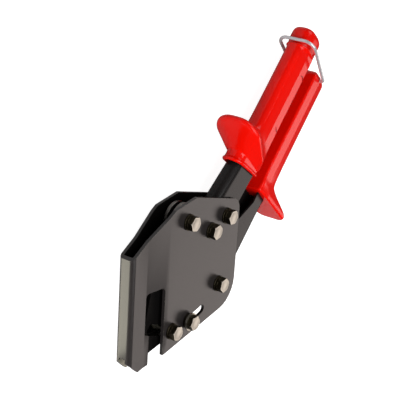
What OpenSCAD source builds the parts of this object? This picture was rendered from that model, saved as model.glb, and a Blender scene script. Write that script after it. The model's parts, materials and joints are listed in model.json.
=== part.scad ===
// Hand-held cutter for metal studs: a folded sheet head with a stud slot, a pair of
// swinging blades, two channel levers in moulded grips and a wire latch.
// Lies on its side: the lower lever's pivot axis is Z, and Z = 0 is the plane of the nuts' faces.
// X runs along the grips towards their ends, Y towards the back of the upper grip.
// Head sizes are in the plate's own axes: P rearwards from the nose, Q up along the nose edge.

/* [Head shell] */
// Thickness of the folded sheet
sheet_t = 2.5; // [2:0.1:3]
// Clear width between the cheeks behind the joggle
rear_in = 13.4; // [12.8:0.1:14]
// Clear width between the cheeks at the nose
nose_in = 7.9; // [7.7:0.1:8.4]
// Outer radius of the two nose bends
bend_r = 3.4; // [3.2:0.1:5]
// Height of the nose's front face
nose_h = 79.5; // [74:0.5:84]
// Level of the top edge's line at P = 0, Q
nose_top_q = -3.4; // [-5:0.2:-2]
// Front shoulder of the top edge, P
shoulder_p = 46.5; // [42:0.5:52]
// Front shoulder of the top edge, Q
shoulder_q = 22; // [19:0.5:24]
// Crown of the top edge, P
crown_p = 70.6; // [66:0.2:74]
// Crown of the top edge, Q
crown_q = 24.2; // [23.6:0.2:27]
// Rear upper corner, P
rear_top_p = 124.8; // [122:0.2:132]
// Rear upper corner, Q
rear_top_q = 6; // [5:0.5:12]
// Radius of the rear upper corner
rear_top_r = 10; // [4:0.5:12]
// Rear lower corner, P
rear_low_p = 121; // [118:0.5:128]
// Rear lower corner, Q
rear_low_q = -74; // [-80:0.5:-72]
// Radius of the rear lower corner
rear_low_r = 21; // [12:0.5:24]
// Pointed toe of each cheek, P
toe_p = 9.5; // [7:0.5:12]
// Pointed toe of each cheek, Q
toe_q = -89; // [-93:0.5:-87]
// Lean of the nose and its slot from the plate's Q axis, degrees
nose_tilt = 2.5; // [1.5:0.1:3.5]
// Height of the notch in the nose's lower edge
nose_notch = 3; // [2:0.5:5]
// Start of the ramp where the cheeks spread, P
ramp_p = 16; // [14:0.5:18]
// Length along P over which the cheeks spread
ramp_len = 21; // [17:0.5:21.5]

/* [Stud slot] */
// Front edge of the slot's upper part, P
slot_front = 16; // [14:0.5:18]
// Rear edge of the slot, P
slot_rear = 34.6; // [33:0.2:35]
// Top edge of the slot, Q
slot_top = -31; // [-36:0.5:-28]
// Level of the step in the front edge, Q
slot_step_q = -62; // [-68:0.5:-56]
// Width of the step in the front edge
slot_step = 4.3; // [2:0.1:6]
// Corner radius at the slot's top
slot_r = 3.5; // [1:0.5:5]

/* [Pivots] */
// Blade pivot, P
blade_pivot_p = 61.3; // [59:0.1:63]
// Blade pivot, Q
blade_pivot_q = 8.7; // [7:0.1:10]
// Lower lever pivot, P
lever_pivot_p = 100.2; // [98:0.1:102]
// Lower lever pivot, Q
lever_pivot_q = -54; // [-56:0.1:-52]
// Front clamp bolt of the upper lever, P
clamp_front_p = 88.7; // [87:0.1:90]
// Front clamp bolt of the upper lever, Q
clamp_front_q = -7; // [-8:0.1:-6]
// Rear clamp bolt of the upper lever, P
clamp_rear_p = 108; // [106:0.1:110]
// Rear clamp bolt of the upper lever, Q
clamp_rear_q = -1.9; // [-3:0.1:-1]
// Radius of the blade guide arc about the blade pivot
guide_r = 78.3; // [77:0.1:79.5]
// Guide bolt's angle behind the line straight down from the blade pivot, blades closed
guide_ang = 1.4; // [0.4:0.1:2]
// Tie bolt's distance from the blade pivot
tie_r = 80.6; // [80:0.1:81.4]
// Tie bolt's angle ahead of the same line
tie_ang = 12.5; // [12:0.1:13]
// Angle between the nose's normal and the grips
grip_ang = 45; // [44:0.5:46]

/* [Fasteners] */
// Shank diameter of the bolts
bolt_d = 6; // [5:0.1:6.4]
// Width across flats of heads and nuts
hex_af = 10; // [9:0.1:11]
// Height of a bolt head
head_h = 4; // [3:0.1:5]
// Height of a nut
nut_h = 5; // [4:0.1:6]
// Outer diameter of the flat washers
washer_d = 12; // [11:0.1:12.6]
// Thickness of the flat washers
washer_t = 1.2; // [0.8:0.1:1.8]
// Outer diameter of the lock washers
lock_d = 11; // [10:0.1:12]
// Thickness of the lock washers
lock_t = 1.6; // [1:0.1:2]
// Diameter of the guide bolt's large washer
guide_washer_d = 13.4; // [12:0.1:15]
// Diameter of the guide bolt's collar
guide_collar_d = 11; // [10:0.1:12]
// Height of the guide bolt's collar
guide_collar_h = 2.4; // [2:0.1:4]
// Outer diameter of the two pivot bushes
bush_d = 10; // [8.5:0.1:11]
// Outer diameter of the tie bolt's and the clamp bolts' spacers
spacer_d = 8; // [7.5:0.1:9]
// Outer diameter of the rings beside the blades
ring_d = 14; // [12:0.1:16]
// Diameter of the drive pin
pin_d = 6; // [5:0.1:7]

/* [Blades] */
// Thickness of a blade
blade_t = 2.4; // [1.6:0.1:2.6]
// Radius of a blade's round upper end
blade_head_r = 12.5; // [11:0.5:14]
// Radius of a blade's lobes round the guide bolt and the drive pin
blade_lobe_r = 7.5; // [6.5:0.1:8]
// Swing of the blades, degrees
blade_stroke = 12.5; // [11:0.1:13]
// Length of the cutting edge
edge_len = 57; // [50:0.5:58]

/* [Levers] */
// Opening of the lower lever, degrees
lever_open = 26; // [24:0.5:27]
// Wall of the pressed channels
wall_t = 1.5; // [1.2:0.1:1.6]
// Bend radius of the lower channel's back
lower_bend_r = 4.6; // [3:0.1:5.4]
// Depth of the lower channel's back below its pivot
lower_back = 12.6; // [11:0.1:13.5]
// Length of the levers' tails inside the grips, from the collars
tail_len = 68; // [50:1:80]

/* [Grips] */
// Distance from the lower lever pivot to the front of the upper collar
upper_start = 79; // [77:0.5:84]
// Distance from the lower lever pivot to the front of the lower grip
lower_start = 76; // [74:0.5:80]
// Distance from the lower lever pivot to the end of the upper grip
upper_end = 202.4; // [196:0.2:210]
// Distance from the lower lever pivot to the end of the lower grip
lower_end = 185.6; // [178:0.2:190]
// Width of a grip
grip_w = 17.4; // [16:0.1:18.4]
// Depth of a grip from inner face to round back
grip_depth = 22.7; // [21:0.1:24]
// Height of the upper grip's inner face above the pivot
upper_inner = 18.2; // [17:0.1:20]
// Height of the lower grip's inner face above the pivot
lower_inner = 5; // [3:0.1:6]
// Wall of a grip round the lever's tail
grip_wall = 2; // [1.6:0.1:2.4]
// Reach of a finger guard beyond the grip's back
guard_reach = 27.6; // [22:0.2:30]
// Width of the upper finger guard
guard_w = 38; // [32:0.5:40]
// Width of the lower finger guard
lower_guard_w = 27; // [24:0.5:29]

/* [Latch] */
// Diameter of the latch wire
wire_d = 2.5; // [2:0.1:3]
// Distance of the latch wire from the upper grip's end
latch_inset = 13.5; // [11:0.5:15]
// Width between the latch's legs at the crossbar, on centre lines
latch_w = 32; // [29:0.2:34]
// Width between the latch's legs at their tips, on centre lines
latch_tip_w = 24.4; // [23.8:0.2:26]
// Corner radius of the latch's shoulders at the wire's centre line
latch_r = 8; // [5:0.5:9]
// Distance of the latch's tips from the lower grip's end
tip_inset = 4.7; // [3:0.1:8]

/* [Return spring] */
// Diameter of the spring wire
spring_d = 1.6; // [1:0.1:1.8]
// Free gap between neighbouring curls
spring_gap = 0.5; // [0.45:0.05:0.6]
// Whole curls of the spring
spring_turns = 2; // [1:1:2]

/* [Clearances] */
// Radial clearance round a clamped bolt
bolt_clear = 0.1; // [0.05:0.05:0.2]
// Radial running clearance on bushes
run_clear = 0.05; // [0.02:0.01:0.09]
// Side gap between sliding plates
side_gap = 0.1; // [0.05:0.05:0.15]
// Radial clearance of the drive pin, guide bolt and tie spacer in their slots
slot_clear = 0.35; // [0.3:0.05:0.5]
// Gap between a lever's tail and its grip
tail_gap = 0.12; // [0.05:0.01:0.2]
// Gap between loose pieces at rest
rest_gap = 0.3; // [0.2:0.05:0.5]

/* [Hidden] */
$fn = 48;

// Widths across the head, from the middle plane
rear_out_z = rear_in / 2 + sheet_t;
nose_out_z = nose_in / 2 + sheet_t;
mid_z = rear_out_z + washer_t + nut_h;
lower_half_w = rear_in / 2 - side_gap;
blade_out_z = min(nose_in / 2, lower_half_w - wall_t) - side_gap;
blade_in_z = blade_out_z - blade_t;
bolt_r = bolt_d / 2;
bolt_hole_r = bolt_r + bolt_clear;
bush_r = bush_d / 2;
pin_r = pin_d / 2;
wire_r = wire_d / 2;
through = 60;

// Pivot places in the plate's axes
blade_pivot = [blade_pivot_p, blade_pivot_q];
lever_pivot = [lever_pivot_p, lever_pivot_q];
clamp_front = [clamp_front_p, clamp_front_q];
clamp_rear = [clamp_rear_p, clamp_rear_q];
guide_bolt_at = on_arc(guide_r, guide_ang);
tie_at = on_arc(tie_r, -tie_ang);
frame_bolt_places = [blade_pivot, clamp_front, clamp_rear, lever_pivot, tie_at];

// The drive pin crosses the line of the pivots at half travel, so one ratio holds both ends
pivot_gap = norm(blade_pivot - lever_pivot);
half_open = lever_open / 2;
half_stroke = blade_stroke / 2;
drive_r = pivot_gap * tan(half_stroke) / (sin(half_open) + cos(half_open) * tan(half_stroke));
drive_ang = bearing(blade_pivot - lever_pivot) + half_open;
drive_at = lever_pivot + drive_r * [cos(drive_ang), sin(drive_ang)];
drive_far = norm(drive_at - blade_pivot);
drive_near = pivot_gap - drive_r;

// Places in the tool's axes, seen from the lower lever pivot
clamp_front_t = to_tool(clamp_front);
clamp_rear_t = to_tool(clamp_rear);
drive_t = to_tool(drive_at);

// Grip levels
upper_back = upper_inner + grip_depth;
lower_outer = lower_inner - grip_depth;
grip_half_w = grip_w / 2;
collar_lip = 2;
collar_drop = 3.2;
latch_x = upper_end - latch_inset;
latch_y = upper_back + wire_r - 0.5;
tip_r = wire_d;
latch_half_w = latch_w / 2;
tip_half_w = latch_tip_w / 2;
latch_low_y = lower_inner - 0.37 * grip_depth;
latch_low_x = lower_end - tip_inset;
latch_lean = atan((latch_x - latch_low_x) / (latch_y - latch_low_y));
latch_len = norm([latch_x - latch_low_x, latch_y - latch_low_y]);
leg_toe = atan((latch_half_w - tip_half_w) / latch_len);
shoulder_cut = latch_r / tan(45 - leg_toe / 2);
tip_cut = tip_r / tan(45 + leg_toe / 2);

// Stations of the pressed channels: distance, open edge, back
upper_tail_end = upper_start + tail_len;
lower_tail_end = lower_start + tail_len;
upper_stations = [
    [clamp_front_t.x - 7.5, clamp_front_t.y - 8.5, clamp_front_t.y + 9],
    [clamp_rear_t.x + 4, clamp_rear_t.y - 9.7, clamp_rear_t.y + 17.5],
    [upper_start + 1, upper_inner + 1.4, upper_back + collar_drop],
    [upper_start + 21, upper_inner + grip_wall, upper_back - grip_wall],
    [upper_tail_end, upper_inner + grip_wall, upper_back - grip_wall]
];
lower_tail_open = lower_inner - 2 * grip_wall;
lower_tail_back = lower_outer + grip_wall;
lower_stations = [
    [drive_t.x - 8, drive_t.y + 2, -lower_back],
    [drive_t.x - 4, drive_t.y + 6.4, -lower_back],
    [drive_t.x + 2, drive_t.y + 7, -lower_back],
    [drive_t.x + 8, drive_t.y + 4, -lower_back],
    [lower_start - 8, lower_tail_open, -lower_back - 0.4],
    [lower_start + 12, lower_tail_open, lower_tail_back],
    [lower_tail_end, lower_tail_open, lower_tail_back]
];

// Points on an arc about the blade pivot and changes of axes
function on_arc(r, a) = blade_pivot + r * [sin(a), -cos(a)];
function bearing(v) = atan2(v.y, v.x);
function turn(v, a) = [v.x * cos(a) - v.y * sin(a), v.x * sin(a) + v.y * cos(a)];
function to_tool(pq) = turn(pq - lever_pivot, -grip_ang);
function tilted(pq) = turn(pq + [0, nose_h], -nose_tilt) - [0, nose_h];
function unit(v) = v / norm(v);

// Outline with rounded corners: each corner is [x, y, radius]
function xy(c) = [c.x, c.y];
function corner_arc(a, b, c, r, n) =
    let (u = unit(a - b), v = unit(c - b), half = acos(u * v) / 2,
         centre = b + unit(u + v) * r / sin(half),
         from = bearing(b + u * r / tan(half) - centre),
         to = bearing(b + v * r / tan(half) - centre),
         swing = (to - from + 540) % 360 - 180)
    [for (i = [0 : n]) centre + r * [cos(from + swing * i / n), sin(from + swing * i / n)]];
function rounded(c, n = 6) =
    let (m = len(c))
    [for (i = [0 : m - 1]) each c[i][2] > 0
        ? corner_arc(xy(c[(i + m - 1) % m]), xy(c[i]), xy(c[(i + 1) % m]), c[i][2], n)
        : [xy(c[i])]];

// Skin between closed rings of equal length
function skin_faces(rings, m) = [
    for (k = [0 : rings - 2], i = [0 : m - 1])
        let (a = k * m + i, b = k * m + (i + 1) % m)
        each [[a, b + m, b], [a, a + m, b + m]]];
module loft(rings) {
    m = len(rings[0]);
    last = (len(rings) - 1) * m;
    polyhedron(
        points = [for (ring = rings) each ring],
        faces = concat(
            skin_faces(len(rings), m),
            [[for (i = [0 : m - 1]) i]],
            [[for (i = [m - 1 : -1 : 0]) last + i]]),
        convexity = 6);
}

// Closed section round a lever's tail at one distance
function pocket_ring(x, inner, back, half, r) = [
    for (c = rounded([
        [back, -half, r], [back, half, r], [inner, half, 0.4], [inner, -half, 0.4]], 5)) [x, c.x, c.y]];

// Closed grip section, sheared from x_in at the inner face to x_back at the back.
// half holds the half widths at the inner face, at the level mid and at the back.
function grip_ring(x_in, x_back, inner, back, half, r_back, mid = 0.25) =
    let (level = inner + mid * (back - inner), slope = (x_back - x_in) / (back - inner))
    [for (c = rounded([
        [back, -half[2], r_back], [back, half[2], r_back], [level, half[1], 3],
        [inner, half[0], 2.2], [inner, -half[0], 2.2], [level, -half[1], 3]], 7))
        [x_in + slope * (c.x - inner), c.x, c.y]];

// Open channel section at one distance, back towards +Y
function channel_side(open, back, half, r) = concat(
    [[open, -half]],
    corner_arc([open, -half], [back, -half], [back, half], r, 7),
    corner_arc([back, -half], [back, half], [open, half], r, 7),
    [[open, half]]);
function channel_ring(x, open, back, half, r) =
    let (outer = channel_side(open, back, half, r),
         inner = channel_side(open, back - wall_t, half - wall_t, r - wall_t))
    [for (c = concat(outer, [for (i = [len(inner) - 1 : -1 : 0]) inner[i]])) [x, c.x, c.y]];
module channel(stations, half, r) {
    rings = [for (s = stations) channel_ring(s[0], s[1], s[2], half, r)];
    m = len(rings[0]);
    k = m / 2;
    last = (len(rings) - 1) * m;
    polyhedron(
        points = [for (ring = rings) each ring],
        faces = concat(
            skin_faces(len(rings), m),
            [for (j = [0 : k - 2]) [j, j + 1, m - 2 - j, m - 1 - j]],
            [for (j = [0 : k - 2]) [last + m - 1 - j, last + m - 2 - j, last + j + 1, last + j]]),
        convexity = 8);
}
module tail_pocket(stations, half, r) {
    loft([for (s = stations) pocket_ring(s[0], s[1] - tail_gap, s[2] + tail_gap, half + tail_gap, r)]);
}

// Frames: the plate's axes with the middle plane at Z = 0, and the tool's axes
module in_plate() {
    translate([0, 0, mid_z]) rotate(-grip_ang) translate([-lever_pivot.x, -lever_pivot.y, 0]) children();
}
module in_tool() {
    translate([0, 0, mid_z]) children();
}
module at(pq) {
    translate([pq.x, pq.y, 0]) children();
}
module bore(r) {
    cylinder(r = r, h = through, center = true);
}
module tube(r_out, r_in, h) {
    difference() {
        cylinder(r = r_out, h = h, center = true);
        bore(r_in);
    }
}
module slab(half_low, half_high) {
    translate([0, 0, half_low]) linear_extrude(half_high - half_low) children();
}
module washer(r_out, z_low, t) {
    translate([0, 0, z_low + t / 2]) tube(r_out, bolt_hole_r, t);
}

// Hexagon with turned chamfers on the outer end
module hex_block(z_low, h) {
    corner_r = hex_af / 2 / cos(30);
    chamfer = (corner_r - hex_af / 2 * 0.95) * tan(30);
    translate([0, 0, z_low]) intersection() {
        cylinder(r = corner_r, h = h, $fn = 6);
        union() {
            cylinder(r = corner_r + 1, h = h - chamfer);
            translate([0, 0, h - chamfer]) cylinder(r1 = corner_r, r2 = hex_af / 2 * 0.95, h = chamfer);
        }
    }
}
module bolt(head_z) {
    hex_block(head_z, head_h);
    translate([0, 0, -mid_z]) cylinder(r = bolt_r, h = head_z + mid_z);
}
module nut(z_low) {
    difference() {
        translate([0, 0, z_low]) mirror([0, 0, 1]) translate([0, 0, -nut_h]) hex_block(0, nut_h);
        bore(bolt_r + 0.02);
    }
}

// Arc slot about the blade pivot, from one angle behind the down line to another
module arc_slot(arc_r, from, to, r) {
    at(blade_pivot) rotate(from - 90)
        rotate_extrude(angle = to - from)
            translate([arc_r - r, -through / 2]) square([2 * r, through]);
    for (a = [from, to]) at(on_arc(arc_r, a)) bore(r + 0.02);
}

// Folded head shell
function shell_half(out_z, back_z, r) = concat(
    [for (a = [0 : 15 : 90]) [r - r * cos(a), out_z - r + r * sin(a)]],
    [[ramp_p, out_z], [ramp_p + ramp_len, back_z], [rear_top_p + 20, back_z]]);
function mirrored_back(pts) = [for (i = [len(pts) - 1 : -1 : 0]) [pts[i].x, -pts[i].y]];
module shell_plan() {
    outer = shell_half(nose_out_z, rear_out_z, bend_r);
    inner = [for (c = shell_half(nose_in / 2, rear_in / 2, bend_r - sheet_t)) c + [sheet_t, 0]];
    inner_fit = [for (i = [0 : len(inner) - 1])
        i < len(inner) - 3 ? inner[i] : inner[i] - [sheet_t * (i < len(inner) - 1 ? 1 : 0), 0]];
    difference() {
        polygon(concat(outer, mirrored_back(outer)));
        polygon(concat(inner_fit, mirrored_back(inner_fit)));
    }
}
// The outline runs past the nose's front by spare, and the leaning front face trims it
spare = 4;
module cheek_outline() {
    polygon(rounded([
        [-spare, nose_top_q - spare * (shoulder_q - nose_top_q) / shoulder_p, 0], [shoulder_p, shoulder_q, 2], [crown_p, crown_q, 2],
        [rear_top_p, rear_top_q, rear_top_r], [rear_low_p, rear_low_q, rear_low_r],
        [toe_p, toe_q, 0.8], [-spare, -nose_h - spare * (toe_q + nose_h) / toe_p, 0]]));
}
module stud_slot_outline() {
    polygon(rounded([
        [slot_front, slot_top, slot_r], [slot_front, slot_step_q, 1],
        [slot_front + slot_step, slot_step_q - slot_step / 2, 1],
        [slot_front + slot_step, toe_q - 10, 0], [slot_rear, toe_q - 10, 0],
        [slot_rear, slot_top, slot_r]]));
}
module in_nose() {
    translate([0, -nose_h, 0]) rotate(-nose_tilt) translate([0, nose_h, 0]) children();
}
notch_half = nose_in / 2 - (bend_r - sheet_t) - 0.4;
module body_shell() {
    color("dimgray") in_plate() difference() {
        intersection() {
            slab(-through / 2, through / 2) cheek_outline();
            in_nose() translate([0, 2 * toe_q, 0]) rotate([-90, 0, 0]) linear_extrude(-4 * toe_q) shell_plan();
        }
        slab(-through / 2, through / 2) in_nose() stud_slot_outline();
        in_nose() translate([-1, 2 * toe_q, -notch_half])
            cube([sheet_t + 1.2, nose_notch - nose_h - 2 * toe_q, 2 * notch_half]);
        for (place = frame_bolt_places) at(place) bore(bolt_hole_r);
        arc_slot(guide_r, guide_ang, guide_ang + blade_stroke, bolt_r + slot_clear);
    }
}

// Fasteners of the frame
head_z = rear_out_z + washer_t + lock_t;
module frame_bolts() {
    color("lightgray") in_plate() for (place = frame_bolt_places) at(place) bolt(head_z);
}
module frame_washers() {
    color("gainsboro") in_plate() for (place = frame_bolt_places) at(place) {
        washer(washer_d / 2, rear_out_z, washer_t);
        washer(washer_d / 2, -rear_out_z - washer_t, washer_t);
    }
}
module lock_washers() {
    split = lock_t * 0.6;
    color("gray") in_plate() for (place = frame_bolt_places) at(place) difference() {
        washer(lock_d / 2, rear_out_z + washer_t, lock_t);
        translate([0, -split / 2, 0]) cube([lock_d, split, through]);
    }
}
module frame_nuts() {
    color("lightgray") in_plate() for (place = frame_bolt_places) at(place)
        nut(-rear_out_z - washer_t - nut_h);
}

// Bushes, spacers and rings between the cheeks
module blade_bush() {
    color("silver") in_plate() at(blade_pivot) tube(bush_r, bolt_hole_r, rear_in);
}
module blade_rings() {
    ring_t = rear_in / 2 - blade_out_z - side_gap;
    color("silver") in_plate() at(blade_pivot) for (side = [-1, 1])
        translate([0, 0, side * (rear_in / 2 - ring_t / 2)]) tube(ring_d / 2, bush_r + run_clear, ring_t);
}
module lever_bush() {
    color("silver") in_plate() at(lever_pivot) tube(bush_r, bolt_hole_r, rear_in);
}
module tie_spacer() {
    color("silver") in_plate() at(tie_at) tube(spacer_d / 2, bolt_hole_r, rear_in);
}
module clamp_spacers() {
    length = rear_in - 2 * wall_t - 2 * rest_gap;
    color("silver") in_plate() for (place = [clamp_front, clamp_rear]) at(place)
        tube(spacer_d / 2, bolt_hole_r, length);
}

// Upper lever, clamped to the head
module upper_shank() {
    color("dimgray") difference() {
        in_tool() channel(upper_stations, rear_in / 2, rear_in / 2 - 0.2);
        in_plate() for (place = [clamp_front, clamp_rear]) at(place) bore(bolt_hole_r);
    }
}
// Half widths of a grip's plain section, grown or sunk by d
function plain(d) = [grip_half_w - 0.3 + d, grip_half_w + d, grip_half_w + d];
function body_ring(x, sink) =
    grip_ring(x, x, upper_inner + sink, upper_back - sink, plain(-sink), grip_half_w - sink - 0.3);
function end_rings(end, r) = concat(
    [body_ring(end - 2.2 * r, 0), body_ring(end - 1.2 * r, -0.3)],
    [for (a = [0 : 22.5 : 67.5]) body_ring(end - r + r * sin(a), r - r * cos(a) - 0.3)]);
guard_half = guard_w / 2;
guard_rim = [grip_half_w + 0.5, 0.78 * guard_half, 1.14 * guard_half];
module upper_grip() {
    guard_top = upper_back + guard_reach;
    front = upper_start;
    color("red") in_tool() difference() {
        loft(concat([
            grip_ring(front + 3, front - 0.5, upper_inner - 1, upper_back + 8, plain(-0.2), 7.4),
            grip_ring(front + 4.2, front + 1, upper_inner - 1.6, upper_back + 8.8, plain(0.6), 8.4),
            grip_ring(front + 5.4, front + 3.2, upper_inner - 1, upper_back + 8.2, plain(0.1), 8),
            grip_ring(front + 7, front + 11, upper_inner - 0.3, upper_back + 8.4, plain(0.4), 8.2),
            grip_ring(front + 7.6, front + 20.4, upper_inner, guard_top - 2.4, 0.9 * guard_rim, 0.74 * guard_half, 0.2),
            grip_ring(front + 8.2, front + 22.6, upper_inner, guard_top, guard_rim, 0.82 * guard_half, 0.2),
            grip_ring(front + 10.6, front + 25.4, upper_inner, guard_top, guard_rim, 0.82 * guard_half, 0.2),
            grip_ring(front + 13, front + 27.4, upper_inner, guard_top - 3, 0.9 * guard_rim, 0.74 * guard_half, 0.2),
            grip_ring(front + 18, front + 30, upper_inner, upper_back + 4, plain(1.2), grip_half_w)],
            [body_ring(front + 34, 0)],
            end_rings(upper_end, 4.5)));
        tail_pocket([for (i = [1 : 4]) upper_stations[i]], rear_in / 2, rear_in / 2 - 0.2);
        loft([
            grip_ring(front + 2.6, front - 1.2, upper_inner + 0.8, upper_back + 6.8, plain(-1.7), 6.4),
            grip_ring(front + 11, front + 8.6, upper_inner + 2, upper_back + 4.4, plain(-1.9), 6.2)]);
        translate([latch_x, latch_y, 0]) cylinder(r = wire_r + 0.2, h = through, center = true);
    }
}

// Return spring round the lower lever's bush: one leg on the channel's back, one under the clamp spacer
spring_r = bush_r + rest_gap + spring_d / 2 + 0.6;
spring_pitch = spring_d + spring_gap;
back_leg_ang = -6;
clamp_leg_ang = bearing(clamp_rear_t)
    - asin((spring_r + spacer_d / 2 + spring_d / 2 + rest_gap) / norm(clamp_rear_t));
back_leg_len = 30;
clamp_leg_len = norm(clamp_rear_t);
spring_from = back_leg_ang - 90;
spring_swing = spring_turns * 360 + (spring_from + 360 - (clamp_leg_ang + 90));
spring_steps = ceil(spring_swing / 45);
spring_rise = spring_pitch * spring_swing / 360;
function curl_point(t) =
    let (a = spring_from - spring_swing * t)
    [spring_r * cos(a), spring_r * sin(a), spring_rise * (t - 0.5)];
function along(a) = [cos(a), sin(a), 0];
spring_path = concat(
    [curl_point(0) + back_leg_len * along(back_leg_ang)],
    [for (i = [0 : spring_steps]) curl_point(i / spring_steps)],
    [curl_point(1) + clamp_leg_len * along(clamp_leg_ang)]);
spring_points = len(spring_path);
function heading(i) = unit(spring_path[min(i + 1, spring_points - 1)] - spring_path[max(i - 1, 0)]);
function wire_ring(i) =
    let (h = heading(i), side = unit(cross(h, [0, 0, 1])), up = cross(side, h))
    [for (k = [0 : 5]) spring_path[i] + spring_d / 2 * (cos(60 * k) * side + sin(60 * k) * up)];
spring_self_gap = min([for (i = [1 : spring_points - 2], j = [i + 6 : 1 : spring_points - 2])
    norm(spring_path[i] - spring_path[j])]) - spring_d;
echo(spring_self_gap = spring_self_gap);
module return_spring() {
    color("gray") in_tool() loft([for (i = [0 : spring_points - 1]) wire_ring(i)]);
}

// Lower lever
module lower_shank() {
    color("dimgray") difference() {
        in_tool() mirror([0, 1, 0])
            channel([for (s = lower_stations) [s[0], -s[1], -s[2]]], lower_half_w, lower_bend_r);
        in_plate() at(lever_pivot) bore(bush_r + run_clear);
        in_plate() at(drive_at) bore(pin_r + 0.02);
    }
}
module lower_grip() {
    inner = -lower_inner;
    back = inner + grip_depth;
    half = lower_guard_w / 2;
    top = back + guard_reach;
    front = lower_start;
    rim = [grip_half_w + 0.6, 0.84 * half, half];
    lower_body = [for (ring = end_rings(lower_end, 4.5)) [for (c = ring) c - [0, upper_inner - inner, 0]]];
    color("red") in_tool() mirror([0, 1, 0]) difference() {
        loft(concat([
            grip_ring(front + 1, front - 1.4, inner - 0.2, top - 1.8, rim - [0.6, 0.9, 1.2], 0.46 * half),
            grip_ring(front + 2.6, front + 0.6, inner - 0.7, top, rim, 0.52 * half),
            grip_ring(front + 5, front + 3.6, inner - 0.3, top - 0.8, rim - [0.3, 0.3, 0.3], 0.52 * half),
            grip_ring(front + 8.6, front + 8.4, inner, back + 0.38 * guard_reach, plain(1.2), 0.52 * half),
            grip_ring(front + 12.4, front + 12.4, inner, back + 1.2, plain(0.3), grip_half_w - 0.2)],
            [for (ring = [body_ring(front + 17, 0)]) [for (c = ring) c - [0, upper_inner - inner, 0]]],
            lower_body));
        tail_pocket([for (i = [4 : 6]) [lower_stations[i][0], -lower_stations[i][1], -lower_stations[i][2]]],
            lower_half_w, lower_bend_r);
    }
}
module drive_pin() {
    color("silver") in_plate() at(drive_at) cylinder(r = pin_r, h = 2 * lower_half_w, center = true);
}

// Blades, drawn open against the slot's rear edge and swung shut
edge_p = slot_rear + 0.6;
edge_tip_r = 0.8;
edge_low_q = slot_top - edge_len;
edge_high_q = slot_top + 2;
function shut(pq) = blade_pivot + turn(pq - blade_pivot, -blade_stroke);
drive_slot_ang = bearing(drive_at - blade_pivot);
arm_root = blade_pivot + turn(drive_at - blade_pivot, -half_stroke * 3);
module blade_outline() {
    translate(blade_pivot) circle(r = blade_head_r);
    hull() {
        translate(blade_pivot) circle(r = 0.72 * blade_head_r);
        translate(shut(tilted([edge_p + edge_tip_r, edge_high_q]))) circle(r = edge_tip_r);
        translate(shut(tilted([edge_p + edge_tip_r, edge_low_q]))) circle(r = edge_tip_r);
        translate(guide_bolt_at) circle(r = blade_lobe_r);
    }
    hull() {
        translate(arm_root) circle(r = blade_lobe_r);
        translate(drive_at) circle(r = blade_lobe_r);
    }
}
module blade(z_low) {
    difference() {
        slab(z_low, z_low + blade_t) blade_outline();
        at(blade_pivot) bore(bush_r + run_clear);
        at(guide_bolt_at) bore(bolt_hole_r);
        arc_slot(tie_r, -tie_ang - blade_stroke, -tie_ang, spacer_d / 2 + slot_clear);
        at(blade_pivot) rotate(drive_slot_ang) {
            translate([drive_near, -pin_r - slot_clear, -through / 2])
                cube([drive_far - drive_near, 2 * (pin_r + slot_clear), through]);
            for (x = [drive_near, drive_far]) translate([x, 0, 0]) bore(pin_r + slot_clear);
        }
    }
}
module near_blade() {
    color("silver") in_plate() blade(blade_in_z);
}
module far_blade() {
    color("silver") in_plate() blade(-blade_out_z);
}
module pivot_spacer() {
    color("gray") in_plate() at(blade_pivot) tube(ring_d / 2, bush_r + run_clear, 2 * blade_in_z);
}
module guide_spacer() {
    color("gray") in_plate() at(guide_bolt_at) tube(spacer_d / 2, bolt_hole_r, 2 * blade_in_z);
}
module guide_rings() {
    ring_t = rear_in / 2 - blade_out_z - side_gap;
    color("gray") in_plate() at(guide_bolt_at) for (side = [-1, 1])
        translate([0, 0, side * (blade_out_z + ring_t / 2)]) tube(spacer_d / 2, bolt_hole_r, ring_t);
}

// Guide bolt with its collar, washers and nut, riding in the cheeks' arc slots
collar_z = rear_out_z + side_gap;
module guide_bolt() {
    color("lightgray") in_plate() at(guide_bolt_at) bolt(collar_z + guide_collar_h + washer_t);
}
module guide_collar() {
    color("gray") in_plate() at(guide_bolt_at) washer(guide_collar_d / 2, collar_z, guide_collar_h);
}
module guide_washers() {
    color("gainsboro") in_plate() at(guide_bolt_at) {
        washer(guide_washer_d / 2, collar_z + guide_collar_h, washer_t);
        washer(guide_washer_d / 2, -collar_z - washer_t + side_gap, washer_t - side_gap);
    }
}
module guide_nut() {
    color("lightgray") in_plate() at(guide_bolt_at) nut(-rear_out_z - washer_t - nut_h);
}

// Wire latch: a bail over the upper grip's back with its tips turned in beside the lower grip
module elbow(r, swing) {
    rotate_extrude(angle = swing) translate([r, 0]) circle(r = wire_r);
}
module latch_bail() {
    bar_half = latch_half_w - shoulder_cut;
    leg_dir = [-sin(leg_toe), -cos(leg_toe)];
    leg_top = [latch_half_w, 0] + shoulder_cut * leg_dir;
    leg_l = latch_len / cos(leg_toe) - shoulder_cut - tip_cut;
    tip_from = tip_half_w - tip_cut;
    lap = 0.2;
    rod_r = wire_r - 0.02;
    color("silver") in_tool() translate([latch_x, latch_y, 0]) rotate(-latch_lean) rotate([0, -90, 0]) {
        rotate([0, 90, 0]) cylinder(r = rod_r, h = 2 * (bar_half + lap), center = true);
        for (side = [0, 1]) mirror([side, 0, 0]) {
            translate([bar_half, -latch_r, 0]) rotate(-leg_toe) elbow(latch_r, 90 + leg_toe);
            translate(leg_top - lap * leg_dir) rotate(-leg_toe) rotate([90, 0, 0])
                cylinder(r = rod_r, h = leg_l + 2 * lap);
            translate([tip_from, tip_r - latch_len, 0]) rotate(-90) elbow(tip_r, 90 - leg_toe);
            translate([tip_from + lap, -latch_len, 0]) rotate([0, -90, 0])
                cylinder(r = rod_r, h = tip_from + lap - grip_half_w - rest_gap);
        }
    }
}

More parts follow.
